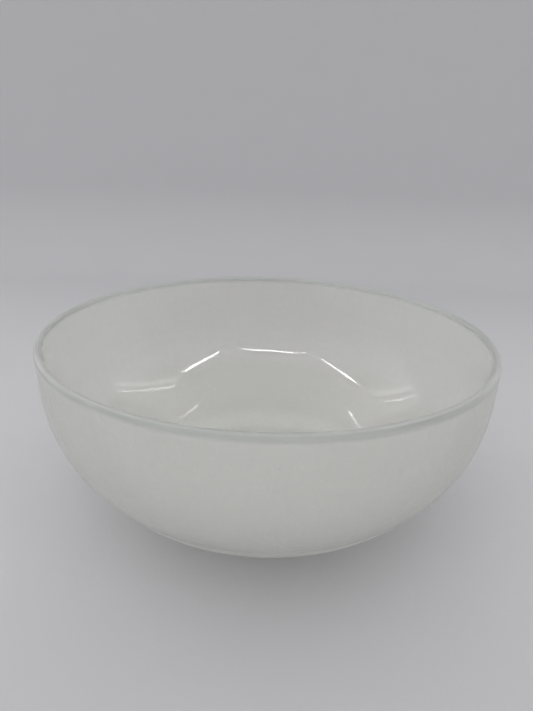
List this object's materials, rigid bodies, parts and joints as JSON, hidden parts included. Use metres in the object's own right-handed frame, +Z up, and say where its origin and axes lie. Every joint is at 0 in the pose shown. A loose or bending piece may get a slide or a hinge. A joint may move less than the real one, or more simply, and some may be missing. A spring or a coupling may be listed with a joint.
{
  "type": "glass bowl",
  "caption": "Round open bowl of milky, seeded pale-green glass with a rounded lip, gently rippled inside and pebbled outside, on a flat ground base.",
  "frame": {"origin": "centre of the flat underside, on the surface the bowl stands on", "axes": "+Z up the bowl's axis of revolution, out of its mouth; +X and +Y across it"},
  "size_m": [0.2, 0.2, 0.083],
  "materials": {
    "seeded_glass": "milky, pale-green seeded glass: glossy and gently rippled inside, finely pebbled outside, fire-polished lip"
  },
  "bodies": {
    "root": {"glass_bowl": "seeded_glass"}
  },
  "joints": []
}
